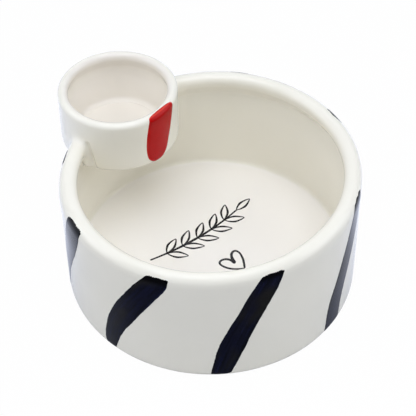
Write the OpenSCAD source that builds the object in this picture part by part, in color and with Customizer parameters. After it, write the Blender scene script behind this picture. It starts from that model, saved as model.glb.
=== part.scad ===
// Chip and dip server: a straight-walled glazed bowl with a round dip cup
// joined into its wall, brushed slanting marks round the outside, one red
// mark on the cup, and a line-drawn heart and leaf sprig on the floor.
// Origin: the centre of the foot, on the table. +Z is up. Millimetres.

/* [Bowl] */
// Outer diameter of the bowl over its rim
bowl_d = 216; // [200:1:236]
// Height of the bowl, from the table to the top of the rim
bowl_h = 104; // [98:1:116]
// Thickness of the straight wall
wall_t = 6.2; // [5:0.1:7.5]
// Width of the rounded bead along the rim
rim_w = 12.3; // [10:0.1:14]
// How far the bead stands out from the wall on the outside
rim_proud = 0.4; // [0.2:0.1:1.5]
// How far below its middle the bead runs out into the inside wall
rim_runout = 12; // [9:0.5:16]
// Height of the inside floor above the table
floor_z = 11; // [9:0.5:14]
// Radius of the rounded edge at the bottom of the wall
base_edge_r = 6.5; // [4:0.5:8]
// Radius of the cove between the inside floor and the wall
floor_cove_r = 3.5; // [1:0.5:6]

/* [Foot] */
// Width of the dry ring that the bowl stands on
foot_w = 9; // [6:0.5:14]
// Depth of the hollow inside the foot ring
foot_hollow = 3; // [1:0.5:4]

/* [Dip cup] */
// Outer diameter of the dip cup
cup_d = 88; // [78:1:96]
// Height of the dip cup
cup_h = 46.5; // [42:0.5:56]
// How far the cup's rim stands above the bowl's rim
cup_rise = 21; // [16:0.5:26]
// Thickness of the cup's wall
cup_wall_t = 5.3; // [4:0.1:6.5]
// Width of the rounded bead along the cup's rim
cup_rim_w = 7.3; // [6.6:0.1:9]
// How far below its middle the cup's bead runs out into the inside wall
cup_rim_runout = 9; // [6:0.5:12]
// Radius of the rounded edge at the bottom of the cup
cup_edge_r = 10; // [6:0.5:12]
// Thickness of the cup's floor
cup_floor_t = 6; // [5:0.5:11]
// Radius of the cove between the cup's floor and its wall
cup_cove_r = 12; // [6:0.5:14]
// How far the cup's middle stands inside the bowl's outer edge
cup_inset = 16; // [12:0.5:20]
// Direction of the cup, in degrees round the bowl
cup_angle = 137; // [120:1:150]

/* [Luting] */
// Radius of the smoothed clay between cup and wall, inside the bowl
inner_fillet_r = 12; // [8:0.5:14]
// Radius of the smoothed clay between cup and wall, outside the bowl
outer_fillet_r = 8; // [5:0.5:10]
// Radius of the smoothed clay between the cup's underside and the wall
under_fillet_r = 7; // [4:0.5:9]
// Thickness of the smoothed clay at its edges
luting_edge = 0.6; // [0.3:0.1:1]

/* [Brushwork] */
// Thickness of the fired colour
ink_t = 0.2; // [0.15:0.05:0.4]
// Width of a brushed mark, measured round the bowl
mark_w = 19; // [14:0.5:22]
// How far a mark leans between its two ends, measured round the bowl
mark_lean = 39; // [24:1:44]
// How far the sides of a mark bow
mark_bow = 4; // [0:0.1:5]
// Height of the lower end of each mark above the table
mark_foot = 5.5; // [5:0.5:12]
// Width of the red mark on the cup
red_w = 26; // [16:0.5:28]
// Direction that the red mark faces, in degrees round the cup
red_angle = -44; // [-60:1:-30]

/* [Floor drawing] */
// Width of the drawn lines
line_w = 1.4; // [1:0.1:2]
// Size of the heart, across its two lobes
heart_w = 19; // [14:0.5:24]
// Length of the leaf sprig
sprig_l = 100; // [80:1:110]
// Number of leaf pairs along the sprig
leaf_pairs = 5; // [3:1:6]
// Length of one leaf
leaf_l = 17; // [12:0.5:18]
// Width of one leaf
leaf_w = 5.8; // [4:0.1:7]
// Width of the line round a leaf
leaf_line_w = 1.1; // [0.8:0.1:1.4]
// Angle between a leaf and the stem
leaf_splay = 38; // [30:1:60]

/* [Hidden] */
$fn = 360;

glaze_white = "#F1F0EC";
ink_navy = "#1B1E33";
enamel_red = "#C4161C";
ink_black = "#17171A";

bowl_r = bowl_d / 2;
rim_r = rim_w / 2;
rim_mid_r = bowl_r - rim_r;
rim_mid_z = bowl_h - rim_r;
wall_r = bowl_r - rim_proud;
wall_in_r = wall_r - wall_t;
foot_r = wall_r - base_edge_r;
foot_in_r = foot_r - foot_w;

cup_r = cup_d / 2;
cup_rim_r = cup_rim_w / 2;
cup_rim_mid_r = cup_r - cup_rim_r;
cup_top = bowl_h + cup_rise;
cup_z = cup_top - cup_h;
cup_rim_mid_z = cup_h - cup_rim_r;
cup_in_r = cup_r - cup_wall_t;
cup_offset = bowl_r - cup_inset;

// Anything reaching this far is clear outside the object
past = 2 * bowl_d;
// Overlap that carries a cutter past the face it cuts
over = 2;

// Directions of the marks' middles round the bowl, at the height of the rim.
// The eighth starts below the cup and the others on the rim.
mark_angles = [-150, -110, -68, -17, 30, 78, 176, 127];
under_cup_mark = 8;
// Gap between a mark and the smoothed clay round the cup
mark_clear = 2;

// Places of the sprig's and the heart's middles on the floor, and how far
// each is turned, in degrees
sprig_at = [-6, 24];
sprig_turn = 40;
heart_at = [18.5, -9];
heart_turn = 42;

// How far the sprig's stem sags over its length
stem_sag = 6;
stem_r = (pow(sprig_l / 2, 2) + pow(stem_sag, 2)) / (2 * stem_sag);
// Where the leaf at the sprig's tip starts, measured from the sprig's middle
sprig_tip = sprig_l / 2 - leaf_l;
leaf_gap = (sprig_tip + sprig_l / 2) / (leaf_pairs + 1);

// Where a bead's run-out leaves it, in degrees below its middle
runout_turn = 20;
// Number of straight steps along a mark's bowed side
mark_steps = 12;

// ---- outlines turned round an axis: x is the radius, y the height ----

// The bead's run-out: from the bead's inner face down to the wall
module bead_runout(mid_r, mid_z, bead_r, wall_face_r, drop) {
    polygon([
        [mid_r, mid_z],
        [mid_r - bead_r * cos(runout_turn), mid_z - bead_r * sin(runout_turn)],
        [wall_face_r, mid_z - drop],
        [wall_face_r + over, mid_z - drop],
        [wall_face_r + over, mid_z]
    ]);
}

// A cove filling the inside corner whose point is at [r, z]
module cove(r, z, cove_r) {
    difference() {
        translate([r - cove_r, z]) square(cove_r);
        translate([r - cove_r, z + cove_r]) circle(r = cove_r);
    }
}

// The bowl's outside, filled solid and grown by a skin's thickness
module bowl_outside(grow = 0) {
    translate([0, base_edge_r]) square([wall_r + grow, rim_mid_z - base_edge_r]);
    translate([0, -grow]) square([foot_r, base_edge_r + grow]);
    translate([foot_r, base_edge_r]) circle(r = base_edge_r + grow);
    translate([rim_mid_r, rim_mid_z]) circle(r = rim_r + grow);
}

module bowl_wall_section() {
    difference() {
        union() {
            translate([wall_in_r, base_edge_r]) square([wall_t, rim_mid_z - base_edge_r]);
            square([foot_r, floor_z]);
            translate([0, base_edge_r]) square([wall_in_r + over, floor_z - base_edge_r]);
            translate([foot_r, base_edge_r]) circle(r = base_edge_r);
            cove(wall_in_r, floor_z, floor_cove_r);
            translate([rim_mid_r, rim_mid_z]) circle(r = rim_r);
            bead_runout(rim_mid_r, rim_mid_z, rim_r, wall_in_r, rim_runout);
        }
        polygon([
            [0, -over],
            [foot_in_r + over, -over],
            [foot_in_r, 0],
            [foot_in_r - foot_hollow, foot_hollow],
            [0, foot_hollow]
        ]);
    }
}

// The cup's outside, filled solid and grown by a skin's thickness
module cup_outside(grow = 0) {
    translate([0, cup_edge_r]) square([cup_r + grow, cup_rim_mid_z - cup_edge_r]);
    square([cup_r - cup_edge_r, cup_edge_r + over]);
    translate([cup_r - cup_edge_r, cup_edge_r]) circle(r = cup_edge_r + grow);
    square([cup_rim_mid_r, cup_h]);
    translate([cup_rim_mid_r, cup_rim_mid_z]) circle(r = cup_rim_r + grow);
}

module cup_section() {
    difference() {
        union() {
            translate([cup_in_r, cup_edge_r]) square([cup_wall_t, cup_rim_mid_z - cup_edge_r]);
            square([cup_r - cup_edge_r, cup_floor_t]);
            intersection() {
                translate([cup_r - cup_edge_r, cup_edge_r]) circle(r = cup_edge_r);
                square([cup_r, cup_edge_r]);
            }
            difference() {
                square([cup_in_r + over, cup_floor_t + cup_cove_r]);
                translate([0, cup_edge_r]) square([cup_in_r - cup_cove_r, past]);
                square([past, cup_edge_r]);
            }
            translate([cup_rim_mid_r, cup_rim_mid_z]) circle(r = cup_rim_r);
            bead_runout(cup_rim_mid_r, cup_rim_mid_z, cup_rim_r, cup_in_r, cup_rim_runout);
        }
        // the hollow's rounded lower part
        translate([0, cup_floor_t]) square([cup_in_r - cup_cove_r, past]);
        translate([cup_in_r - cup_cove_r, cup_floor_t + cup_cove_r]) circle(r = cup_cove_r);
    }
}

// ---- placing ----

// Turns things drawn with the cup along +X to the cup's direction
module toward_cup() {
    rotate([0, 0, cup_angle]) children();
}

module at_cup() {
    toward_cup() translate([cup_offset, 0, cup_z]) children();
}

// The whole of the space that the cup takes up, its hollow included
module cup_block(grow = 0) {
    at_cup() rotate_extrude() cup_outside(grow);
}

// ---- the two castings ----

module bowl() {
    color(glaze_white) difference() {
        rotate_extrude() bowl_wall_section();
        cup_block();
    }
}

module dip_cup() {
    color(glaze_white) at_cup() rotate_extrude() cup_section();
}

// ---- smoothed clay in the corners between cup and wall ----

// Angle at the bowl's middle between the cup and a point at this distance
// from the bowl's middle and that distance from the cup's
function corner_angle(from_bowl, from_cup) =
    acos((pow(cup_offset, 2) + pow(from_bowl, 2) - pow(from_cup, 2)) / (2 * cup_offset * from_bowl));

// Plan of an upright corner: a wedge reaching into both bodies, with a round
// channel taken out of its open side. The channel runs luting_edge clear of
// the cup and of the wall face at wall_face; toward is +1 for a channel
// outside that face and -1 for one inside.
module corner_plan(wall_face, fillet_r, toward) {
    mid_r = wall_face + toward * fillet_r;
    mid_a = corner_angle(mid_r, cup_r + fillet_r);
    mid = mid_r * [cos(mid_a), sin(mid_a)];
    touch_wall = wall_face * [cos(mid_a), sin(mid_a)];
    cup_mid = [cup_offset, 0];
    touch_cup = cup_mid + (mid - cup_mid) * cup_r / (cup_r + fillet_r);
    in_wall = (wall_face - toward * wall_t / 2) * [cos(mid_a), sin(mid_a)];
    in_cup = cup_mid + (touch_cup - cup_mid) * (cup_r - cup_wall_t / 2) / cup_r;
    join_a = corner_angle(wall_face - toward * wall_t / 2, cup_r - cup_wall_t / 2);
    join = (wall_face - toward * wall_t / 2) * [cos(join_a), sin(join_a)];
    difference() {
        polygon([touch_wall, in_wall, join, in_cup, touch_cup, mid]);
        translate(mid) circle(r = fillet_r - luting_edge);
    }
}

module upright_luting(wall_face, fillet_r, toward, side) {
    color(glaze_white) difference() {
        toward_cup() scale([1, side, 1]) translate([0, 0, cup_z + cup_edge_r / 2])
            linear_extrude(rim_mid_z - cup_z - cup_edge_r / 2)
            corner_plan(wall_face, fillet_r, toward);
        rotate_extrude() bowl_wall_section();
        cup_block();
    }
}

module inner_luting_left() { upright_luting(wall_in_r, inner_fillet_r, -1, 1); }

module inner_luting_right() { upright_luting(wall_in_r, inner_fillet_r, -1, -1); }

module outer_luting_left() { upright_luting(wall_r, outer_fillet_r, 1, 1); }

module outer_luting_right() { upright_luting(wall_r, outer_fillet_r, 1, -1); }

// Cove under the cup, along the wall face at wall_face, kept to the flat
// middle of the cup's underside
module under_luting(wall_face, toward) {
    color(glaze_white) intersection() {
        rotate_extrude() difference() {
            translate([toward > 0 ? wall_face : wall_face - under_fillet_r, cup_z - under_fillet_r])
                square(under_fillet_r);
            translate([wall_face + toward * under_fillet_r, cup_z - under_fillet_r])
                circle(r = under_fillet_r);
        }
        at_cup() translate([0, 0, -under_fillet_r]) cylinder(r = cup_r - cup_edge_r, h = under_fillet_r);
    }
}

module under_luting_inside() { under_luting(wall_in_r, -1); }

module under_luting_outside() { under_luting(wall_r, 1); }

// ---- fired colour ----

// One brushed mark seen square on: x runs round the bowl and y up it. Both
// sides bow the same way, and the ends are cut level.
module mark_outline(low, high) {
    rise = high - low;
    function slant(s) = mark_lean * (s - 0.5) * rise / bowl_h - mark_bow * sin(180 * s);
    polygon([
        for (i = [0:mark_steps]) [slant(i / mark_steps) - mark_w / 2, low + rise * i / mark_steps],
        for (i = [mark_steps:-1:0]) [slant(i / mark_steps) + mark_w / 2, low + rise * i / mark_steps]
    ]);
}

// The upright space round the cup that its smoothed clay reaches on the
// outside of the wall, which the marks stay clear of
module round_cup() {
    edge_a = corner_angle(wall_r + outer_fillet_r, cup_r + outer_fillet_r);
    reach = norm(wall_r * [cos(edge_a), sin(edge_a)] - [cup_offset, 0]);
    at_cup() cylinder(r = reach + mark_clear, h = past);
}

module brush_mark(number) {
    high = number == under_cup_mark ? cup_z - under_fillet_r - mark_clear : bowl_h - rim_r / 2;
    lean_angle = mark_lean / bowl_r * 180 / PI;
    mid_angle = mark_angles[number - 1] - lean_angle * (1 - (high + mark_foot) / 2 / bowl_h);
    color(ink_navy) difference() {
        intersection() {
            rotate_extrude() difference() {
                bowl_outside(ink_t);
                bowl_outside();
                translate([0, -over]) square([rim_mid_r, past]);
            }
            rotate([0, 0, mid_angle]) rotate([90, 0, 90]) linear_extrude(past)
                mark_outline(mark_foot, high);
        }
        round_cup();
    }
}

module red_outline() {
    low = cup_edge_r / 2;
    high = cup_h + over;
    intersection() {
        translate([-red_w / 2, low]) square([red_w, high - low]);
        union() {
            translate([-over, low + red_w / 2]) circle(d = red_w + 2 * over);
            translate([-red_w / 2, low + red_w / 2]) square([red_w, high]);
        }
    }
}

module red_mark() {
    color(enamel_red) intersection() {
        at_cup() rotate_extrude() difference() {
            cup_outside(ink_t);
            cup_outside();
            square([cup_rim_mid_r, past]);
        }
        at_cup() rotate([0, 0, red_angle - cup_angle]) rotate([90, 0, 90]) linear_extrude(past)
            red_outline();
    }
}

// A heart with its point at [0, 0] and its lobes toward +Y
module heart(width) {
    lobe_r = width / (2 + sqrt(2));
    side = 2 * lobe_r;
    rotate([0, 0, 45]) {
        square(side);
        translate([side, side / 2]) circle(r = lobe_r);
        translate([side / 2, side]) circle(r = lobe_r);
    }
}

module heart_outline() {
    inner_w = heart_w - 2 * line_w;
    color(ink_black) translate([heart_at.x, heart_at.y, floor_z]) rotate([0, 0, heart_turn])
        linear_extrude(ink_t) translate([0, -heart_w / 2]) difference() {
            heart(heart_w);
            translate([0, line_w * sqrt(2)]) heart(inner_w);
        }
}

// A pointed leaf from [0, 0] along +X, its edge drawn in by this much
module leaf(draw_in = 0) {
    arc_r = (pow(leaf_l, 2) + pow(leaf_w, 2)) / (4 * leaf_w);
    intersection() {
        translate([leaf_l / 2, arc_r - leaf_w / 2]) circle(r = arc_r - draw_in);
        translate([leaf_l / 2, leaf_w / 2 - arc_r]) circle(r = arc_r - draw_in);
    }
}

module leaf_line() {
    difference() {
        leaf();
        leaf(leaf_line_w);
    }
}

// Puts things drawn from [0, 0] along +X on the stem, x from its middle
module along_stem(x) {
    a = asin(x / stem_r);
    translate([x, stem_r * (1 - cos(a)) - stem_sag / 2]) rotate([0, 0, a]) children();
}

module sprig_plan() {
    intersection() {
        translate([0, stem_r - stem_sag / 2]) difference() {
            circle(r = stem_r + line_w / 2);
            circle(r = stem_r - line_w / 2);
        }
        translate([-sprig_l / 2, -sprig_l / 2]) square([sprig_l / 2 + sprig_tip + line_w, sprig_l]);
    }
    for (i = [1:leaf_pairs]) {
        along_stem(i * leaf_gap - sprig_l / 2) {
            rotate([0, 0, leaf_splay]) leaf_line();
            rotate([0, 0, -leaf_splay]) leaf_line();
        }
    }
    along_stem(sprig_tip) leaf_line();
}

module leaf_sprig() {
    color(ink_black) translate([sprig_at.x, sprig_at.y, floor_z]) rotate([0, 0, sprig_turn])
        linear_extrude(ink_t) sprig_plan();
}

module brush_mark_1() { brush_mark(1); }

module brush_mark_2() { brush_mark(2); }

module brush_mark_3() { brush_mark(3); }

module brush_mark_4() { brush_mark(4); }

module brush_mark_5() { brush_mark(5); }

module brush_mark_6() { brush_mark(6); }

module brush_mark_7() { brush_mark(7); }

module brush_mark_8() { brush_mark(8); }

bowl();
dip_cup();
inner_luting_left();
inner_luting_right();
outer_luting_left();
outer_luting_right();
under_luting_inside();
under_luting_outside();
brush_mark_1();
brush_mark_2();
brush_mark_3();
brush_mark_4();
brush_mark_5();
brush_mark_6();
brush_mark_7();
brush_mark_8();
red_mark();
heart_outline();
leaf_sprig();
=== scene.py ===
import math

import bmesh
import bpy
from mathutils import Matrix, Vector, noise
from mathutils.bvhtree import BVHTree
from mathutils.geometry import interpolate_bezier


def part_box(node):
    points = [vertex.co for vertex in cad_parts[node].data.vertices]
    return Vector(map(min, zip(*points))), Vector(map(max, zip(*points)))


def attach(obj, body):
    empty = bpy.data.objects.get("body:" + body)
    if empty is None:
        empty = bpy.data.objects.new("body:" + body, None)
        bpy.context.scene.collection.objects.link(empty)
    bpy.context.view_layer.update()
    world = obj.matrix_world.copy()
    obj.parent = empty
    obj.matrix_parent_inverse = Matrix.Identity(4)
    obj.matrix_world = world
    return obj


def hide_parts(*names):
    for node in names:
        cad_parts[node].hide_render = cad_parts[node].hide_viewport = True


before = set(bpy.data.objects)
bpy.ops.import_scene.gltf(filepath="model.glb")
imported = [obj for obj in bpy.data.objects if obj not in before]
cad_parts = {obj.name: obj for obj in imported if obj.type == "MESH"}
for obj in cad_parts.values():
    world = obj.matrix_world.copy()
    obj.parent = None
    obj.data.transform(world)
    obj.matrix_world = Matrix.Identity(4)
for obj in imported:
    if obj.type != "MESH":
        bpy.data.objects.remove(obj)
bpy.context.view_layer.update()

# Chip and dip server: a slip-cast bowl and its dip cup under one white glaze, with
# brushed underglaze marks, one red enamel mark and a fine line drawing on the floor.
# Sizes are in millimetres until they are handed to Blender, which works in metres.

MM = 0.001
# Nearer than this counts as touching
HAIR = 0.01 * MM
UP = Vector((0, 0, 1))
scene = bpy.context.scene


# ---- the camera ----

def aim_camera():
    """Looks down at the bowl from in front, about as high as a standing person does."""
    place, lens, sensor_width = Vector((0, -673.9, 766.5)), 115.6, 36
    # In radians, downwards, to the left and round the line of sight
    pitch, yaw, roll = 0.8081, 0.0030, -0.0114
    forward = Vector((-math.sin(yaw) * math.cos(pitch), math.cos(yaw) * math.cos(pitch), -math.sin(pitch)))
    level = Vector((math.cos(yaw), math.sin(yaw), 0))
    upright = level.cross(forward)
    right = math.cos(roll) * level + math.sin(roll) * upright
    up = math.cos(roll) * upright - math.sin(roll) * level
    data = bpy.data.cameras.new("camera")
    data.lens, data.sensor_width = lens, sensor_width
    camera = bpy.data.objects.new("camera", data)
    turn = camera.matrix_world.to_3x3()
    turn.col[0], turn.col[1], turn.col[2] = right, up, -forward
    camera.matrix_world = turn.to_4x4()
    camera.location = place * MM
    scene.collection.objects.link(camera)
    scene.camera = camera


# ---- sizes ----

bowl_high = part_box("bowl")[1] / MM
cup_low, cup_high = (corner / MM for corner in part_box("dip_cup"))
floor_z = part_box("heart_outline")[0].z / MM

bowl_r = bowl_high.x
bowl_h = bowl_high.z
# How far the wall's two faces and the rim's inner edge stand in from the rim's outside
wall_back, wall_depth, rim_w = 0.3, 6.6, 12.3
wall_r = bowl_r - wall_back
wall_in_r = bowl_r - wall_depth
rim_in_r = bowl_r - rim_w
# About how far the rim's outer edge is rounded, which leads the marks over it
rim_edge = 7.5
# How far the rim's outer face leans in at the top
rim_lean = 1.6
# Height of the rim's lower edge and, inside, of the neck where it has sloped back to the wall
rim_low_z = bowl_h - 8
rim_neck_z = bowl_h - 19
base_edge = 6
foot_w = 9
foot_in_r = wall_r - base_edge - foot_w
foot_hollow = 3

cup_middle = (cup_low + cup_high) / 2
cup_axis = Vector((cup_middle.x, cup_middle.y, 0))
# The cup is drawn a little smaller than its box, so that its uneven surface stays inside
side_slack, top_slack = 0.2, 0.35
cup_r = (cup_high.x - cup_low.x) / 2 - side_slack
cup_z = cup_low.z
cup_h = cup_high.z - cup_low.z - top_slack
cup_bead = 3.65
cup_edge = 6
cup_wall_t = 5.1
cup_mouth_r = cup_r - 2 * cup_bead
cup_in_r = cup_r - cup_wall_t
# Heights inside the cup: the bead's lower edge, and between which two the hollow is widest
cup_bead_z, cup_wide_z, cup_taper_z = cup_h - 5, cup_h - 12, cup_h - 18
cup_floor = 6
cup_floor_r = 32.5
# A shallow step round the cup's floor
cup_ring_r, ring_w, ring_drop = 29.5, 0.8, 0.5

# Outlines turned round an axis: radius, height, and how far the corner is rounded
BOWL_OUTLINE = [
    (0, foot_hollow, 0), (foot_in_r - foot_hollow, foot_hollow, 3), (foot_in_r, 0, 1.2),
    (wall_r, 0, base_edge), (wall_r, rim_low_z, 15), (bowl_r - rim_lean, bowl_h, 6.2),
    (rim_in_r, bowl_h, 5), (rim_in_r, rim_low_z, 10), (wall_in_r, rim_neck_z, 3),
    (wall_in_r, floor_z, 3.5), (0, floor_z, 0),
]
CUP_OUTLINE = [
    (0, 0, 0), (cup_r, 0, cup_edge), (cup_r, cup_h, cup_bead), (cup_mouth_r, cup_h, cup_bead),
    (cup_mouth_r, cup_bead_z, 3), (cup_in_r, cup_wide_z, 5), (cup_in_r, cup_taper_z, 30),
    (cup_floor_r, cup_floor, 4), (cup_ring_r, cup_floor, 0.5),
    (cup_ring_r - ring_w, cup_floor - ring_drop, 0.5), (0, cup_floor - ring_drop, 0),
]
# Takes the bowl's wall out of the cup's hollow, and stays inside the cup's own wall and floor
core_r = (cup_r + cup_in_r) / 2
core_floor = cup_floor / 2
CORE_OUTLINE = [(0, core_floor, 0), (core_r, core_floor, 8), (core_r, cup_h, 0), (0, cup_h, 0)]


# ---- turning and joining the clay ----

def put_in_order(bm):
    """Rebuilds a mesh with its vertices and faces in the order of their places, so that each run
    gives the same result. Merging and joining leave them in any order."""
    ranked = sorted(bm.verts, key=lambda v: v.co[:])
    rank = {v: i for i, v in enumerate(ranked)}
    places = [v.co.copy() for v in ranked]
    faces = []
    for f in bm.faces:
        corners = [rank[v] for v in f.verts]
        first = corners.index(min(corners))
        faces.append(corners[first:] + corners[:first])
    bm.clear()
    verts = [bm.verts.new(place) for place in places]
    for corners in sorted(faces):
        bm.faces.new([verts[i] for i in corners])
    bm.normal_update()


def turned(corners, steps, middle=(0, 0, 0)):
    """A closed bmesh, in metres, of a rounded outline turned about a vertical axis."""
    # Longest edges in mm, round the corners and between them
    corner_step, straight_step = 1.1, 3.0
    bm = bmesh.new()
    points = [Vector((r, 0, z)) * MM for r, z, _ in corners]
    verts = [bm.verts.new(p) for p in points]
    bm.faces.new(verts)
    for i, (_, _, rounding) in enumerate(corners):
        if not rounding:
            continue
        to_last = (points[i - 1] - points[i]).normalized()
        to_next = (points[(i + 1) % len(points)] - points[i]).normalized()
        corner = to_last.angle(to_next)
        arc = rounding * (math.pi - corner)
        bmesh.ops.bevel(bm, geom=[verts[i]], affect="VERTICES", profile=0.5, material=-1,
                        offset=rounding * MM / math.tan(corner / 2), clamp_overlap=False,
                        segments=max(3, math.ceil(arc / corner_step)))
    bmesh.ops.remove_doubles(bm, verts=bm.verts, dist=HAIR)
    for edge in list(bm.edges):
        cuts = int(edge.calc_length() / (straight_step * MM))
        on_axis = all(v.co.x < HAIR for v in edge.verts)
        if cuts and not on_axis:
            bmesh.ops.subdivide_edges(bm, edges=[edge], cuts=cuts)
    bmesh.ops.delete(bm, geom=bm.faces[:], context="FACES_ONLY")
    axis = [e for e in bm.edges if all(v.co.x < HAIR for v in e.verts)]
    bmesh.ops.delete(bm, geom=axis, context="EDGES")
    bmesh.ops.spin(bm, geom=bm.verts[:] + bm.edges[:], cent=(0, 0, 0), axis=(0, 0, 1),
                   angle=2 * math.pi, steps=steps, use_merge=True)
    bmesh.ops.remove_doubles(bm, verts=bm.verts, dist=HAIR / 2)
    bmesh.ops.recalc_face_normals(bm, faces=bm.faces)
    bmesh.ops.translate(bm, verts=bm.verts, vec=Vector(middle) * MM)
    put_in_order(bm)
    return bm


def as_object(name, bm):
    mesh = bpy.data.meshes.new(name)
    bm.to_mesh(mesh)
    bm.free()
    obj = bpy.data.objects.new(name, mesh)
    scene.collection.objects.link(obj)
    return obj


def boolean(obj, other, operation):
    """Changes obj's mesh for its union with, or difference from, the other's."""
    step = obj.modifiers.new("boolean", "BOOLEAN")
    step.object, step.operation, step.solver = other, operation, "EXACT"
    finished = obj.evaluated_get(bpy.context.evaluated_depsgraph_get())
    result = bpy.data.meshes.new_from_object(finished)
    obj.modifiers.clear()
    obj.data = result


def from_surface(tree, point):
    """Distance from a closed surface, negative inside, and the direction away from it."""
    spot, normal, _, distance = tree.find_nearest(point)
    away = point - spot
    if distance < HAIR / 10:
        return away.dot(normal), normal
    if away.dot(normal) < 0:
        return -distance, -away / distance
    return distance, away / distance


def smoothstep(low, high, value):
    t = min(max((value - low) / (high - low), 0), 1)
    return t * t * (3 - 2 * t)


def corner_reach(point):
    """How far the smoothed clay reaches from the corner between cup and wall, in metres."""
    outside, inside, at_rim = 10, 8, 5
    in_share = 1 - smoothstep(wall_in_r, wall_r, point.xy.length / MM)
    rim_share = smoothstep(bowl_h - 14, bowl_h - 2, point.z / MM)
    upright = outside - (outside - inside) * in_share
    return (upright + (at_rim - upright) * rim_share) * MM


def in_cup(point):
    """True inside the middle of the cup's wall and floor, where no clay is smoothed in."""
    flat = (point / MM - cup_middle).xy.length
    return flat < core_r and point.z / MM > cup_z + core_floor


def smooth_the_corners(bm, bowl_tree, cup_tree):
    """Fills the corners between the cup and the bowl's wall as a wet finger fills them with slip."""
    # No clay is smoothed in farther than this from the cup, in mm
    farthest = 24
    shortest_edge = 0.7 * MM
    smoothing_rounds = 10

    def filled(point):
        """Distance and direction from the filled surface, and how much it is filled there."""
        a, away_a = from_surface(bowl_tree, point)
        b, away_b = from_surface(cup_tree, point)
        reach = corner_reach(point)
        share = max(reach - abs(a - b), 0) / reach
        if a > b:
            a, b, away_a, away_b = b, a, away_b, away_a
        return a - share * share * reach / 4, (away_a * (1 - share / 2) + away_b * share / 2), share

    def near_corner():
        found = []
        for v in bm.verts:
            offset = (v.co / MM - cup_middle).xy.length
            if offset > cup_r + farthest or v.co.z / MM < cup_z - farthest or in_cup(v.co):
                continue
            if filled(v.co)[2] > 0:
                found.append(v)
        return found

    bmesh.ops.remove_doubles(bm, verts=near_corner(), dist=shortest_edge)
    faces = list({f for v in near_corner() for f in v.link_faces})
    bmesh.ops.triangulate(bm, faces=faces)
    put_in_order(bm)
    corner = near_corner()
    for _ in range(smoothing_rounds):
        bmesh.ops.smooth_vert(bm, verts=corner, factor=0.5, use_axis_x=True, use_axis_y=True,
                              use_axis_z=True)
        for v in corner:
            # The direction changes on the way, so one move isn't enough
            for _ in range(2):
                distance, away, _ = filled(v.co)
                v.co -= away.normalized() * distance
    bmesh.ops.recalc_face_normals(bm, faces=bm.faces)


def press_wall(bm):
    """Draws the bowl's wall in beside the cup, where the two were pressed together by hand,
    and lets it swell a little a quarter of the way round. The rim is wider at the sides."""
    pressed_in, swell, rim_widening = 1.8, 1.2, 1.2
    swell_turn = math.radians(97)
    for v in bm.verts:
        # Round from the cup: pressed in fully up to 20 degrees to each side, and not past about 60
        turn = math.atan2(cup_axis.xy.cross(v.co.xy), cup_axis.xy.dot(v.co.xy))
        near = 1 - smoothstep(20, 62 if turn > 0 else 60, abs(math.degrees(turn)))
        oval = swell * math.cos(2 * (turn + swell_turn))
        push = (oval - pressed_in * near) * smoothstep(45, 90, v.co.z / MM)
        way = v.co.xy.normalized()
        inner = 1 - smoothstep(rim_in_r, bowl_r - 4, v.co.xy.length / MM)
        wider = rim_widening * way.x ** 2 - rim_widening * max(-way.y, 0) ** 3
        push -= wider * inner * smoothstep(bowl_h - 20, bowl_h - 7, v.co.z / MM)
        v.co.xy *= 1 + push / bowl_r


def press_cup(bm):
    """Flattens the far side of the cup a little, as a hand does that holds it to the wall."""
    middle = cup_axis.y * MM
    flattened = 0.97
    for v in bm.verts:
        if v.co.y > middle:
            v.co.y = middle + (v.co.y - middle) * flattened


# The seam that the luting coil leaves beside the cup at its left joint, from the rim down, and
# the coil's own ridge, which comes down beside the seam and turns in under the cup
COIL_SEAM = [
    (-88.4, 24.1, 104), (-87.2, 23.5, 98), (-85.8, 22.9, 90), (-84.9, 22.5, 83), (-84.4, 22.3, 80),
]
COIL_RIDGE = [
    (-92.8, 26.9, 91), (-91.6, 26.0, 86), (-89.4, 24.6, 81), (-86.8, 23.3, 77.6),
    (-83.6, 22.3, 76.6), (-79.5, 21.0, 77.8),
]


def from_line(point, line):
    """Distance in mm from a point to a broken line."""
    found = []
    for a, b in zip(line, line[1:]):
        a, b = Vector(a), Vector(b)
        share = min(max((point - a).dot(b - a) / (b - a).length_squared, 0), 1)
        found.append((point - a.lerp(b, share)).length)
    return min(found)


def refine(bm, line, reach, rounds):
    """Gives the clay a finer mesh within reach of a line, where a small feature follows it."""
    fine_enough = 0.9 * MM
    for _ in range(rounds):
        verts = [v for v in bm.verts if from_line(v.co / MM, line) < reach]
        # A dict keeps its order, where a set would not
        edges = dict.fromkeys(e for v in verts for e in v.link_edges if e.calc_length() > fine_enough)
        bmesh.ops.subdivide_edges(bm, edges=list(edges), cuts=1)
        bmesh.ops.triangulate(bm, faces=[f for f in bm.faces if len(f.verts) > 4])


def luting(point):
    """The seam and ridge of clay worked into the left joint, and the smear left by the thumb
    beside the right one, as a height in mm."""
    seam_depth, seam_w = 1.6, 1.4
    ridge_h, ridge_w = 2.0, 2.2
    smear_h = 0.6
    coil_zone = 40
    height = 0.0
    if (point - Vector(COIL_SEAM[1])).length < coil_zone:
        height -= seam_depth * math.exp(-(from_line(point, COIL_SEAM) / seam_w) ** 2)
        height += ridge_h * math.exp(-(from_line(point, COIL_RIDGE) / ridge_w) ** 2)
    # The smear is on the wall's inner face, between 100 and 114 degrees round the bowl
    turn = math.degrees(math.atan2(point.y, point.x))
    on_inner_face = wall_in_r - 9 < point.xy.length < wall_in_r + 2
    if 100 < turn < 114 and on_inner_face and not in_cup(point * MM):
        beside = smoothstep(100.5, 103, turn) * (1 - smoothstep(107, 113, turn))
        height += smear_h * beside * smoothstep(40, 78, point.z) * (1 - smoothstep(92, 99, point.z))
    return height


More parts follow.
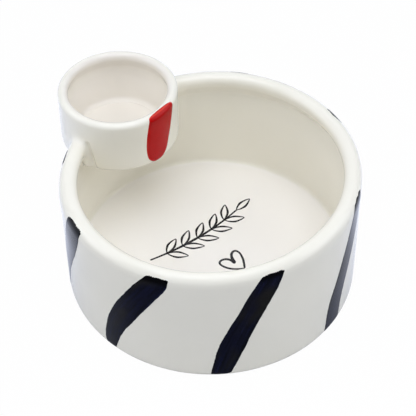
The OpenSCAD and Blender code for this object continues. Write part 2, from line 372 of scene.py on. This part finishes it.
def unevenness(point):
    """The slight unevenness of a cast and hand-finished wall, in metres."""
    slow_size, slow_h, quick_size, quick_h = 55, 0.28, 24, 0.10
    elsewhere = Vector((7, 3, 1))
    slow = noise.noise(point / (slow_size * MM))
    quick = noise.noise(point / (quick_size * MM) + elsewhere)
    return (slow_h * slow + quick_h * quick) * MM


def cast_body():
    """The bowl and the cup as one closed body of clay, pressed, luted together and smoothed."""
    cup_foot = cup_axis + UP * cup_z
    bowl = turned(BOWL_OUTLINE, steps=320)
    cup = turned(CUP_OUTLINE, steps=180, middle=cup_foot)
    core = turned(CORE_OUTLINE, steps=120, middle=cup_foot)
    press_wall(bowl)
    press_cup(cup)
    press_cup(core)
    bowl_tree, cup_tree = BVHTree.FromBMesh(bowl), BVHTree.FromBMesh(cup)
    body = as_object("glazed_body", bowl)
    cup, core = as_object("cup_shape", cup), as_object("core_shape", core)
    boolean(body, core, "DIFFERENCE")
    boolean(body, cup, "UNION")
    bm = bmesh.new()
    bm.from_mesh(body.data)
    put_in_order(bm)
    smooth_the_corners(bm, bowl_tree, cup_tree)
    refine(bm, COIL_SEAM + COIL_RIDGE[::-1], reach=6, rounds=2)
    bm.normal_update()
    for v in bm.verts:
        # The foot stays flat, since it was ground
        height = unevenness(v.co) * smoothstep(0, 9, v.co.z / MM) + luting(v.co / MM) * MM
        v.co += v.normal * height
    for f in bm.faces:
        f.smooth = True
    bm.to_mesh(body.data)
    bm.free()
    for spare in (cup, core):
        bpy.data.objects.remove(spare)
    return body


body = cast_body()
body_tree = BVHTree.FromObject(body, bpy.context.evaluated_depsgraph_get())


# ---- finding the glaze ----

# Where a look for the glaze starts in front of it, and how far inside a wall it aims
STAND_OFF, INSIDE = 25, 3


def meet(aim, way):
    """The point and normal of the glaze met by coming in against way, toward aim (mm)."""
    spot, normal, _, _ = body_tree.ray_cast((aim + way * STAND_OFF) * MM, -way)
    return spot, normal


def on_wall(axis, angle, climb, wall, bead, base):
    """Meets the outside of a turned wall at a height, or round the curve of its bead or base.

    climb is measured up the wall and on round the curve. bead and base give the radius, height
    and rounding of those two curves."""
    out = Vector((math.cos(angle), math.sin(angle), 0))
    if climb > bead[1]:
        turn = (climb - bead[1]) / bead[2]
        aim = out * bead[0] + UP * bead[1]
    elif climb < base[1]:
        turn = (climb - base[1]) / base[2]
        aim = out * base[0] + UP * base[1]
    else:
        turn = 0
        aim = out * wall + UP * climb
    return meet(axis + aim, out * math.cos(turn) + UP * math.sin(turn))


def on_bowl(angle, climb):
    bead = (bowl_r - rim_edge, bowl_h - rim_edge, rim_edge)
    base = (wall_r - base_edge, base_edge, base_edge)
    return on_wall(Vector(), angle, climb, wall_r - INSIDE, bead, base)


def on_cup(angle, climb):
    bead = (cup_r - cup_bead, cup_h - cup_bead, cup_bead)
    base = (cup_r - cup_edge, cup_edge, cup_edge)
    return on_wall(cup_axis + UP * cup_z, angle, climb, cup_r - INSIDE, bead, base)


def on_floor(spot):
    return meet(Vector((spot.x, spot.y, floor_z)), UP)


# ---- films of fired colour ----

# What each place of a film knows, in mm: how far it lies across and along its stroke, and from
# the stroke's nearest edge
MEASURES = ("across", "along", "margin")
# How deep a film's edge dips into the glaze, and how thick it is underneath
DIP, SKIN = 0.05, 0.3


def colour_bmesh():
    bm = bmesh.new()
    for name in MEASURES:
        bm.verts.layers.float.new(name)
    return bm


def lay_film(bm, place, lanes, rows, thickness, taper):
    """Brushes a thin skin of colour on the glaze, in lanes from t = 0 to t = 1.

    place(u, t) gives the point and normal under lane u (-1 to 1), and the place's measures.
    The skin thins out over the taper, and its very edge dips into the glaze."""
    layers = [bm.verts.layers.float[name] for name in MEASURES]
    grid = bmesh.ops.create_grid(bm, x_segments=lanes, y_segments=rows, size=1)["verts"]
    outward = {}
    for v in grid:
        spot, normal, *measures = place(v.co.x, (1 - v.co.y) / 2)
        for layer, value in zip(layers, measures):
            v[layer] = value
        margin = v[layers[-1]]
        height = (thickness + DIP) * smoothstep(0, taper, margin) - DIP
        v.co = spot + normal * height * MM
        outward[v] = normal
    faces = {f for v in grid for f in v.link_faces}
    for f in faces:
        f.normal_update()
        f.smooth = True
    inverted = [f for f in faces if f.normal.dot(outward[f.verts[0]]) < 0]
    bmesh.ops.reverse_faces(bm, faces=inverted)


def colour_piece(name, bm, node, material):
    """A finished film: closed underneath, inside the glaze, and standing for its CAD node."""
    piece = as_object(name, bm)
    skin = piece.modifiers.new("skin", "SOLIDIFY")
    skin.thickness, skin.offset = SKIN * MM, -1
    piece.data.materials.append(material)
    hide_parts(node)
    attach(piece, "root")


def smooth_through(points):
    """Points along one smooth curve through the given ones."""
    steps = 8
    points = [Vector(p) for p in points]
    ends = [2 * points[0] - points[1], *points, 2 * points[-1] - points[-2]]
    found = [points[0]]
    for a, b, c, d in zip(ends, ends[1:], ends[2:], ends[3:]):
        found += interpolate_bezier(b, b + (c - a) / 6, c - (d - b) / 6, c, steps + 1)[1:]
    return found


class Path:
    """A curve that is followed by its length."""

    def __init__(self, points):
        self.points = points
        self.reach = [0]
        for a, b in zip(points, points[1:]):
            self.reach.append(self.reach[-1] + (b - a).length)
        self.length = self.reach[-1]

    def at(self, share):
        goal = share * self.length
        i = next((i for i, r in enumerate(self.reach[1:]) if r >= goal), len(self.reach) - 2)
        step = self.points[i + 1] - self.points[i]
        part = (goal - self.reach[i]) / step.length
        return self.points[i] + step * part, step.normalized()


def ragged(across, seed, depth):
    """How far the bristles at a place across the brush stop short of the stroke's end, in mm.

    Tufts about as wide as tuft_w leave teeth, and in places these are worn away."""
    tuft_w, drift_size, wear_size = 1.7, 4, 5
    drift = 0.5 + noise.noise(Vector((across / drift_size, seed, 0)))
    tooth = abs((across / tuft_w + 0.4 * noise.noise(Vector((across, seed, 4)))) % 1 - 0.5) * 2
    worn = smoothstep(-0.25, 0.25, noise.noise(Vector((across / wear_size, seed, 8))))
    return depth * (drift + 1.3 * tooth * worn)


# Each slanting mark by the course of its middle, from its top end over the bead to its foot:
# height measured up the wall and over the bead, direction round the bowl, and width
RIM_END = bowl_h - rim_edge + 5.2
STROKE_FOOT = 2.5
STROKES = {
    "brush_mark_1": [
        (RIM_END + 0.8, -150, 20), (85, -153.4, 22), (67, -157.9, 22.5), (48, -163.3, 22),
        (28, -168, 20), (STROKE_FOOT, -172, 17),
    ],
    "brush_mark_2": [
        (RIM_END - 0.4, -109.3, 16.5), (89, -112.6, 22), (73, -117.8, 21.8), (52, -123.7, 21),
        (33, -128.4, 17.3), (16, -131.3, 14.3), (STROKE_FOOT, -132.4, 10),
    ],
    "brush_mark_3": [
        (RIM_END + 0.6, -66.8, 17.4), (86, -70.8, 21.3), (68, -75.2, 20.2), (50, -79.5, 20.2),
        (32, -82.8, 20), (STROKE_FOOT, -86.9, 15),
    ],
    "brush_mark_4": [
        (RIM_END + 0.6, -15.7, 19), (79, -21.4, 22), (62, -26.4, 22), (45, -30.8, 21.4),
        (28, -34.1, 21), (STROKE_FOOT, -36.2, 19),
    ],
}
# The marks at the back run alike, and the last one starts below the cup
BACK_COURSE = [
    (RIM_END + 2.4, 0, 15), (86, -4.5, 22), (60, -11, 22), (34, -16.5, 20), (STROKE_FOOT, -20.5, 15),
]
for number, direction in (5, 31.5), (6, 78), (7, 172.8):
    STROKES[f"brush_mark_{number}"] = [
        (climb, direction + turn, width) for climb, turn, width in BACK_COURSE
    ]
STROKES["brush_mark_8"] = [
    (cup_z - 10, 125, 17), (45, 117, 20), (24, 111.5, 18), (STROKE_FOOT, 106, 14),
]
# How deep the bristles' teeth are where a stroke starts and ends, in mm
START_TEETH, END_TEETH = 0.45, 0.5
DEEPER_TEETH = {"brush_mark_3": 0.75}
# How far in mm the first bristles start above the course, the outer ones stop short of the inner
# ones at the start and the end, and the sides waver
OVERRUN, START_ROUNDING, END_ROUNDING, WAVER = 0.4, 1.8, 1.5, 0.4


def brush_mark(name, material):
    course = smooth_through(STROKES[name])
    seed = float(name[-1]) * 3.7
    start_teeth = DEEPER_TEETH.get(name, START_TEETH)
    top_climb = course[0].x

    def along_course(climb):
        below = next((i for i, p in enumerate(course) if p.x <= climb), len(course) - 1)
        a, b = course[max(below - 1, 0)], course[max(below, 1)]
        return a.lerp(b, (climb - a.x) / (b.x - a.x))

    def place(u, t):
        width = along_course(top_climb + (STROKE_FOOT - top_climb) * t).z
        across = u * width / 2
        start = top_climb + OVERRUN - ragged(across, seed, start_teeth) - START_ROUNDING * u ** 6
        foot = STROKE_FOOT + ragged(across, seed + 9, END_TEETH) + END_ROUNDING * u ** 4
        climb = start + (foot - start) * t
        _, turn, width = along_course(climb)
        slow = noise.noise(Vector((climb / 13, seed, u)))
        quick = noise.noise(Vector((climb / 3, seed, 3 * u)))
        half = width / 2 + WAVER * (slow + 0.6 * quick)
        spot, normal = on_bowl(math.radians(turn) + u * half / bowl_r, climb)
        margin = min(half * (1 - abs(u)), start - climb, climb - foot)
        return spot, normal, u * half, top_climb - climb, margin

    bm = colour_bmesh()
    lay_film(bm, place, lanes=60, rows=130, thickness=0.15, taper=1.0)
    colour_piece(name + "_colour", bm, name, material)


# The red mark's sides, from the rim's crest to its round foot: height up the cup, and the
# left and right side in degrees round the cup
RED_SIDES = [
    (47.3, -54, -25), (44, -56.5, -22), (30, -60, -26.5), (17, -61, -32), (9, -59.5, -35.5),
    (1.5, -56, -41),
]


def round_end(rest, rounding, least):
    """How wide a rounded end is at a distance from its tip, as a share of its full width."""
    return math.sqrt(max(1 - (1 - min(rest / rounding, 1)) ** 2, least))


def red_mark(material):
    left = Path(smooth_through([(side, climb) for climb, side, _ in RED_SIDES]))
    right = Path(smooth_through([(side, climb) for climb, _, side in RED_SIDES]))
    height = RED_SIDES[0][0] - RED_SIDES[-1][0]
    foot_rounding, crest_rounding, crest_narrowing, crest_bulge = 9, 3, 0.12, 1.6
    degree = math.radians(1)

    def place(u, t):
        a, b = left.at(t)[0], right.at(t)[0]
        middle, side = (a + b) / 2, (b - a) / 2
        down, rest = t * height, (1 - t) * height
        crest = 1 - crest_narrowing * (1 - round_end(down, crest_rounding, 0.01))
        half = side.x * degree * cup_r * round_end(rest, foot_rounding, 0.0004) * crest
        angle = middle.x * degree + u * half / cup_r
        climb = middle.y + crest_bulge * (1 - u * u) * (1 - smoothstep(0, 5, down))
        spot, normal = on_cup(angle, climb)
        return spot, normal, u * half, down, min(half * (1 - abs(u)), down, rest)

    bm = colour_bmesh()
    lay_film(bm, place, lanes=40, rows=90, thickness=0.42, taper=1.6)
    colour_piece("red_mark_enamel", bm, "red_mark", material)


def draw_line(bm, points, widths, seed):
    """Draws one line on the floor with a fine brush, its width changing along widths."""
    path = Path(smooth_through(points))
    wide = Path(smooth_through([(i / (len(widths) - 1), w) for i, w in enumerate(widths)]))
    row_step, unsteadiness = 0.5, 0.12
    rows = max(8, int(path.length / row_step))

    def place(u, t):
        middle, ahead = path.at(t)
        along, end = t * path.length, min(t, 1 - t) * path.length
        half = wide.at(t)[0].y / 2 * (1 + unsteadiness * noise.noise(Vector((along / 3, seed, 0))))
        half *= round_end(end, half, 0.01)
        spot, normal = on_floor(middle + Vector((-ahead.y, ahead.x)) * half * u)
        return spot, normal, u * half, along, min(half * (1 - abs(u)), end)

    lay_film(bm, place, lanes=8, rows=rows, thickness=0.12, taper=0.25)


# The heart's two strokes, from its notch to its point
HEART_LEFT = [
    (18.2, -9.9), (14.6, -6.6), (10.9, -5.6), (7.3, -7), (6.4, -10), (9.5, -13), (14.7, -15.1),
    (20.5, -15.4), (25.2, -14.8),
]
HEART_RIGHT = [
    (18, -9.4), (15.9, -5), (15.3, -1), (16.5, 1.9), (18.8, 2.7), (21.5, 0.6), (23.5, -4),
    (24.6, -9.6), (25, -14.9),
]


def heart(material):
    bm = colour_bmesh()
    draw_line(bm, HEART_LEFT, (2.6, 1.8, 2.0, 1.9, 1.6), seed=1.0)
    draw_line(bm, HEART_RIGHT, (2.8, 2.3, 1.7, 2.0, 1.6), seed=2.0)
    colour_piece("heart_line", bm, "heart_outline", material)


# The sprig on the floor: its place and turn, its size and its leaves
sprig_middle, sprig_turn = Vector((-6, 24)), math.radians(40)
sprig_length, stem_sag = 100, 6
leaf_length, leaf_width, leaf_splay, leaf_pairs = 17, 5.8, math.radians(38), 5
# How far the stem reaches into the leaf at its tip
stem_reach = 1.2


def leaf_sprig(material):
    """A bent stem with pairs of pointed leaves and one at its tip, each leaf drawn in two strokes."""
    stem_r = ((sprig_length / 2) ** 2 + stem_sag ** 2) / (2 * stem_sag)
    root, tip = -sprig_length / 2, sprig_length / 2 - leaf_length

    def on_stem(x, ahead=0.0, aside=0.0, turn=0.0):
        """A place ahead of and beside the stem's point x, the way ahead turned from the stem's."""
        bend = math.asin(x / stem_r)
        local = Vector((ahead, aside))
        local.rotate(Matrix.Rotation(bend + turn, 2))
        local += Vector((x, stem_r * (1 - math.cos(bend)) - stem_sag / 2))
        local.rotate(Matrix.Rotation(sprig_turn, 2))
        return local + sprig_middle

    def leaf(x, turn, seed):
        long = leaf_length * (1 + 0.08 * noise.noise(Vector((seed, 0, 0))))
        turn += 0.12 * noise.noise(Vector((0, seed, 0)))
        for side in (-1, 1):
            belly = side * leaf_width * (0.45 + 0.1 * noise.noise(Vector((seed, side, 3))))
            # From the stem to the leaf's point, by shares of its length and its belly
            shape = [
                (0.6, 0), (0.22 * long, 0.62 * belly), (0.5 * long, belly),
                (0.8 * long, 0.58 * belly), (long, 0),
            ]
            points = [on_stem(x, *p, turn) for p in shape]
            draw_line(bm, points, (1.0, 1.7, 2.0, 1.6, 0.9), seed + side)

    bm = colour_bmesh()
    stem = [on_stem(root + (tip + stem_reach - root) * i / 6) for i in range(7)]
    draw_line(bm, stem, (1.5, 2.4, 2.1, 1.8, 1.4), seed=5.0)
    gap = (tip - root) / (leaf_pairs + 1)
    for i in range(1, leaf_pairs + 1):
        for side in (-1, 1):
            leaf(root + i * gap, side * leaf_splay, seed=3.3 * i + side)
    leaf(tip, 0, seed=40.0)
    colour_piece("leaf_sprig_line", bm, "leaf_sprig", material)


# ---- materials ----

def linear(colour):
    """An sRGB hex colour as the linear values that Blender works with."""
    parts = [int(colour[i:i + 2], 16) / 255 for i in (1, 3, 5)]
    return [c / 12.92 if c <= 0.04045 else ((c + 0.055) / 1.055) ** 2.4 for c in parts] + [1]


def new_material(name):
    material = bpy.data.materials.new(name)
    material.use_nodes = True
    return material, material.node_tree, material.node_tree.nodes["Principled BSDF"]


def add(tree, kind, inputs=None, **settings):
    """Adds a node with its settings, and values or links for its sockets."""
    made = tree.nodes.new("ShaderNode" + kind)
    for key, value in settings.items():
        setattr(made, key, value)
    for key, value in (inputs or {}).items():
        if isinstance(value, bpy.types.NodeSocket):
            tree.links.new(value, made.inputs[key])
        else:
            made.inputs[key].default_value = value
    return made


# Socket numbers of a Mix node, for colours and for plain values
FACTOR, FIRST, SECOND, MIXED = 0, 6, 7, 2
FIRST_VALUE, SECOND_VALUE = 2, 3

# A glaze's IOR is usually about 1.5. These are lower, matched to the object's weaker reflections.
GLAZE_IOR, NAVY_IOR, RED_IOR = 1.42, 1.28, 1.24


def white_glaze():
    """Opaque white earthenware glaze, dipped: glossy and a little uneven like still water, darker and
    warmer in the cup as painted shade, whiter on the bowl's level floor as painted light, and with a bare,
    dry foot ring of biscuit."""
    material, tree, shader = new_material("white_glaze")
    place = add(tree, "TexCoord").outputs["Object"]
    height = add(tree, "SeparateXYZ", {"Vector": place}).outputs["Z"]
    cloud = add(tree, "TexNoise", {"Vector": place, "Scale": 1 / (38 * MM), "Detail": 3.0}).outputs["Fac"]
    shade = add(tree, "Mix", {FACTOR: cloud, FIRST: linear("#F9F5E8"), SECOND: linear("#F5F1E2")},
                data_type="RGBA")

    # Painted shade: inside the cup's hollow the glaze is made darker and warmer
    flat = add(tree, "VectorMath", {0: place, 1: (1, 1, 0)}, operation="MULTIPLY")
    from_axis = add(tree, "VectorMath", {0: flat.outputs[0], 1: cup_axis * MM}, operation="DISTANCE")
    within = add(tree, "MapRange", {"Value": from_axis.outputs["Value"],
                                    "From Min": (cup_in_r - 1.5) * MM, "From Max": (cup_in_r + 2) * MM,
                                    "To Min": 1.0, "To Max": 0.0})
    above = add(tree, "Math", {0: height, 1: (cup_z + core_floor) * MM}, operation="GREATER_THAN")
    cup_painted_shade = add(tree, "Math", {0: within.outputs[0], 1: above.outputs[0]}, operation="MULTIPLY")
    shade = add(tree, "Mix", {FACTOR: cup_painted_shade.outputs[0], FIRST: shade.outputs[MIXED],
                              SECOND: linear("#F2ECE1")}, data_type="RGBA")

    # The bowl's floor is what lies level and no higher than its cove; painted light makes it whiter there,
    # as it is lit from above
    facing = add(tree, "SeparateXYZ", {"Vector": add(tree, "NewGeometry").outputs["Normal"]})
    level = add(tree, "MapRange", {"Value": facing.outputs["Z"], "From Min": 0.8, "From Max": 1.0})
    low = add(tree, "Math", {0: height, 1: (floor_z + 9) * MM}, operation="LESS_THAN")
    floor = add(tree, "Math", {0: low.outputs[0], 1: level.outputs[0]}, operation="MULTIPLY")
    shade = add(tree, "Mix", {FACTOR: floor.outputs[0], FIRST: shade.outputs[MIXED],
                              SECOND: linear("#FDF9F2")}, data_type="RGBA")

    # The glaze was wiped off up to a line that wanders about half a millimetre above the foot
    wander = add(tree, "TexNoise", {"Vector": place, "Scale": 1 / (6 * MM), "Detail": 2.0})
    line = add(tree, "Math", {0: wander.outputs["Fac"], 1: 0.8 * MM, 2: 0.1 * MM},
               operation="MULTIPLY_ADD")
    bare = add(tree, "Math", {0: height, 1: line.outputs[0]}, operation="LESS_THAN").outputs[0]
    colour = add(tree, "Mix", {FACTOR: bare, FIRST: shade.outputs[MIXED], SECOND: linear("#DDD5C6")},
                 data_type="RGBA")
    gloss = add(tree, "MapRange", {"Value": cloud, "To Min": 0.10, "To Max": 0.17})
    rough = add(tree, "Mix", {FACTOR: bare, FIRST_VALUE: gloss.outputs[0], SECOND_VALUE: 0.85})
    ripple = add(tree, "TexNoise", {"Vector": place, "Scale": 1 / (11 * MM), "Detail": 1.0})
    bump = add(tree, "Bump", {"Height": ripple.outputs["Fac"], "Strength": 0.25, "Distance": 0.12 * MM})
    for socket, value in (("Base Color", colour.outputs[MIXED]), ("Roughness", rough.outputs[0]),
                          ("Normal", bump.outputs[0])):
        tree.links.new(value, shader.inputs[socket])
    shader.inputs["IOR"].default_value = GLAZE_IOR
    return material


# The films' patterns follow the brush, so their scales are per mm across and along the stroke.

def navy_brushwork():
    """Blue-black underglaze, brushed on in one stroke under the clear gloss: streaks of
    bristles along it, browner where it is thin and black where the brush was set down."""
    material, tree, shader = new_material("navy_brushwork")
    across = add(tree, "Attribute", attribute_name="across").outputs["Fac"]
    along = add(tree, "Attribute", attribute_name="along").outputs["Fac"]
    # The third coordinate only makes the marks differ from each other
    place = add(tree, "SeparateXYZ", {"Vector": add(tree, "TexCoord").outputs["Object"]})
    run = add(tree, "CombineXYZ", {"X": across, "Y": along, "Z": place.outputs["X"]}).outputs[0]

    # Streaks about 2 mm wide and 55 mm long
    bristles = add(tree, "Mapping", {"Vector": run, "Scale": (0.55, 0.018, 12.0)})
    streak = add(tree, "TexNoise", {"Vector": bristles.outputs[0], "Scale": 1.0, "Detail": 4.0,
                                    "Roughness": 0.6})
    fine = add(tree, "MapRange", {"Value": streak.outputs["Fac"], "From Min": 0.35, "From Max": 0.75})
    navy = add(tree, "Mix", {FACTOR: fine.outputs[0], FIRST: linear("#020308"),
                             SECOND: linear("#0E1230")}, data_type="RGBA")

    # Patches about 14 mm wide and 29 mm long
    patches = add(tree, "Mapping", {"Vector": run, "Scale": (0.07, 0.035, 9.0)})
    wash = add(tree, "TexNoise", {"Vector": patches.outputs[0], "Scale": 1.0, "Detail": 1.0})
    thin = add(tree, "MapRange", {"Value": wash.outputs["Fac"], "From Min": 0.47, "From Max": 0.68})
    brown = add(tree, "Mix", {FACTOR: thin.outputs[0], FIRST: navy.outputs[MIXED],
                              SECOND: linear("#1A1918")}, data_type="RGBA")

    set_down = add(tree, "MapRange", {"Value": along, "From Min": 3.0, "From Max": 8.0,
                                      "To Min": 1.0, "To Max": 0.0}, interpolation_type="SMOOTHSTEP")
    dark = add(tree, "Mix", {FACTOR: set_down.outputs[0], FIRST: brown.outputs[MIXED],
                             SECOND: linear("#010103")}, data_type="RGBA")
    tree.links.new(dark.outputs[MIXED], shader.inputs["Base Color"])
    shader.inputs["Roughness"].default_value = 0.12
    shader.inputs["IOR"].default_value = NAVY_IOR
    return material


def red_enamel():
    """Bright red overglaze enamel, laid on thick so that it stands up wet and glossy: paler along
    its edge, with a painted highlight along its crest and painted shade below that, and with a few
    pinholes near the foot."""
    material, tree, shader = new_material("red_enamel")
    across = add(tree, "Attribute", attribute_name="across").outputs["Fac"]
    along = add(tree, "Attribute", attribute_name="along").outputs["Fac"]
    margin = add(tree, "Attribute", attribute_name="margin").outputs["Fac"]
    run = add(tree, "CombineXYZ", {"X": across, "Y": along}).outputs[0]

    # Clouds about 6 mm across
    cloud = add(tree, "TexNoise", {"Vector": run, "Scale": 0.16, "Detail": 3.0})
    red = add(tree, "Mix", {FACTOR: cloud.outputs["Fac"], FIRST: linear("#C40406"),
                            SECOND: linear("#B20305")}, data_type="RGBA")
    edge = add(tree, "MapRange", {"Value": margin, "From Min": 0.2, "From Max": 1.6,
                                  "To Min": 0.55, "To Max": 0.0})
    red = add(tree, "Mix", {FACTOR: edge.outputs[0], FIRST: red.outputs[MIXED],
                            SECOND: linear("#DC3022")}, data_type="RGBA")

    # Two bands across the mark, each by where it starts and ends along it: a painted highlight on the
    # crest, where the enamel turns over the rim, and painted shade on the thick roll that sags below the
    # crest
    painted_light_bands = (
        ((1.2, 1.9), (2.2, 3.0), 0.6, "#EE5446"),
        ((2.8, 4.2), (8.0, 11.0), 0.8, "#B40003"),
    )
    for start, end, strength, colour in painted_light_bands:
        rise = add(tree, "MapRange", {"Value": along, "From Min": start[0], "From Max": start[1]})
        fall = add(tree, "MapRange", {"Value": along, "From Min": end[0], "From Max": end[1],
                                      "To Min": strength, "To Max": 0.0})
        painted_light_band = add(tree, "Math", {0: rise.outputs[0], 1: fall.outputs[0]}, operation="MULTIPLY")
        red = add(tree, "Mix", {FACTOR: painted_light_band.outputs[0], FIRST: red.outputs[MIXED],
                                SECOND: linear(colour)}, data_type="RGBA")

    # Pinholes 0.8 mm across, about 2.4 mm apart
    pits = add(tree, "TexVoronoi", {"Vector": run, "Scale": 0.42})
    pit = add(tree, "Math", {0: pits.outputs["Distance"], 1: 0.17}, operation="LESS_THAN")
    near_foot = add(tree, "MapRange", {"Value": along, "From Min": 33.0, "From Max": 38.0})
    inside = add(tree, "MapRange", {"Value": margin, "From Min": 2.0, "From Max": 3.5})
    where = add(tree, "Math", {0: near_foot.outputs[0], 1: inside.outputs[0]}, operation="MULTIPLY")
    pinholes = add(tree, "Math", {0: where.outputs[0], 1: pit.outputs[0]}, operation="MULTIPLY")
    final = add(tree, "Mix", {FACTOR: pinholes.outputs[0], FIRST: red.outputs[MIXED],
                              SECOND: linear("#5A0A0E")}, data_type="RGBA")
    tree.links.new(final.outputs[MIXED], shader.inputs["Base Color"])
    shader.inputs["Roughness"].default_value = 0.07
    shader.inputs["IOR"].default_value = RED_IOR
    return material


def black_line():
    """Black underglaze drawn with a fine brush: near black where the brush was loaded, thinning
    to a brown-black at the sides of the line and where it ran dry."""
    material, tree, shader = new_material("black_line")
    margin = add(tree, "Attribute", attribute_name="margin").outputs["Fac"]
    place = add(tree, "TexCoord").outputs["Object"]
    load = add(tree, "TexNoise", {"Vector": place, "Scale": 1 / (5 * MM), "Detail": 2.0})
    ink = add(tree, "Mix", {FACTOR: load.outputs["Fac"], FIRST: linear("#0C0C0E"),
                            SECOND: linear("#2C2A2C")}, data_type="RGBA")
    edge = add(tree, "MapRange", {"Value": margin, "From Min": 0.05, "From Max": 0.35,
                                  "To Min": 0.6, "To Max": 0.0})
    thin = add(tree, "Mix", {FACTOR: edge.outputs[0], FIRST: ink.outputs[MIXED],
                             SECOND: linear("#3A332C")}, data_type="RGBA")
    tree.links.new(thin.outputs[MIXED], shader.inputs["Base Color"])
    shader.inputs["Roughness"].default_value = 0.14
    shader.inputs["Specular IOR Level"].default_value = 0.35
    return material


# ---- the object ----

body.data.materials.clear()
body.data.materials.append(white_glaze())
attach(body, "root")
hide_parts("bowl", "dip_cup", "inner_luting_left", "inner_luting_right",
            "outer_luting_left", "outer_luting_right", "under_luting_inside", "under_luting_outside")

navy = navy_brushwork()
for stroke in STROKES:
    brush_mark(stroke, navy)
red_mark(red_enamel())
drawn = black_line()
heart(drawn)
leaf_sprig(drawn)


# ---- floor, lamps and world ----

def shown_white(tree, lit, white, output, whiteness):
    """Gives the output what lights the object, mixed for the camera alone with plain white."""
    seen = add(tree, "LightPath").outputs["Is Camera Ray"]
    share = add(tree, "Math", {0: seen, 1: whiteness}, operation="MULTIPLY")
    mixed = add(tree, "MixShader", {0: share.outputs[0], 1: lit.outputs[0], 2: white.outputs[0]})
    add(tree, output, {"Surface": mixed.outputs[0]})


def paper_floor():
    """A pale sheet that looks white to the camera and keeps a little of the object's shadow.
    To glossy rays it glows as a painted reflection: white behind the bowl, and dark in front, standing for
    the unlit side of the room."""
    half_width = 3
    bm = bmesh.new()
    bmesh.ops.create_grid(bm, x_segments=1, y_segments=1, size=half_width)
    floor = as_object("floor", bm)
    paper = bpy.data.materials.new("paper")
    paper.use_nodes = True
    tree = paper.node_tree
    tree.nodes.clear()
    place = add(tree, "SeparateXYZ", {"Vector": add(tree, "TexCoord").outputs["Object"]})
    # Painted reflection: the sheet glows for glossy rays, dim in front of the bowl and bright behind it
    painted_reflection_glow = add(tree, "MapRange", {"Value": place.outputs["Y"], "From Min": -0.12, "From Max": 0.05,
                                    "To Min": 0.15, "To Max": 1.25})
    mirrored = add(tree, "Emission", {"Color": linear("#E6ECFF"), "Strength": painted_reflection_glow.outputs[0]})
    glossy = add(tree, "LightPath").outputs["Is Glossy Ray"]
    lit = add(tree, "BsdfDiffuse", {"Color": linear("#E8E8EA")})
    to_object = add(tree, "MixShader", {0: glossy, 1: lit.outputs[0], 2: mirrored.outputs[0]})
    white = add(tree, "Emission", {"Strength": 1.0})
    shown_white(tree, to_object, white, "OutputMaterial", whiteness=0.98)
    floor.data.materials.append(paper)


DAYLIGHT = "#F1F5FE"
# Softboxes: place and width in metres, and power in watts, all aimed at the bowl
SOFTBOXES = {
    "overhead": ((0, -0.25, 1.35), 1.0, 8.5),
    "front": ((0, -0.8, 1.25), 1.5, 4.0),
    "left": ((-1.15, -0.05, 0.8), 0.9, 5.1),
    "right": ((1.15, -0.05, 0.8), 0.9, 5.0),
    "back": ((0, 0.9, 1.25), 1.4, 1.2),
}


def lamps():
    for name, (place, width, power) in SOFTBOXES.items():
        lamp = bpy.data.lights.new(name, "AREA")
        lamp.shape, lamp.size, lamp.energy = "SQUARE", width, power
        lamp.color = linear(DAYLIGHT)[:3]
        softbox = bpy.data.objects.new(name, lamp)
        softbox.location = place
        softbox.rotation_euler = (-Vector(place)).to_track_quat("-Z", "Y").to_euler()
        scene.collection.objects.link(softbox)


def studio():
    """A dim, cool room. Glossy glaze mirrors its walls as white, but as dark up in front, where
    the room is unlit."""
    world = bpy.data.worlds.new("studio")
    scene.world = world
    world.use_nodes = True
    tree = world.node_tree
    tree.nodes.clear()
    way = add(tree, "TexCoord").outputs["Generated"]
    # Up and in front, about where the camera is
    unlit_way = (0, -0.75, 0.66)
    front = add(tree, "VectorMath", {0: way, 1: unlit_way}, operation="DOT_PRODUCT").outputs["Value"]
    walls = add(tree, "MapRange", {"Value": front, "From Min": 0.3, "From Max": 0.8,
                                   "To Min": 1.0, "To Max": 0.1}, interpolation_type="SMOOTHSTEP")
    mirrored = add(tree, "LightPath").outputs["Is Glossy Ray"]
    strength = add(tree, "Mix", {FACTOR: mirrored, FIRST_VALUE: 0.27, SECOND_VALUE: walls.outputs[0]})
    room = add(tree, "Background", {"Color": linear(DAYLIGHT), "Strength": strength.outputs[0]})
    white = add(tree, "Background", {"Color": linear("#FFFFFF"), "Strength": 1.0})
    shown_white(tree, room, white, "OutputWorld", whiteness=1.0)


paper_floor()
lamps()
studio()
aim_camera()
scene.view_settings.view_transform = "Standard"
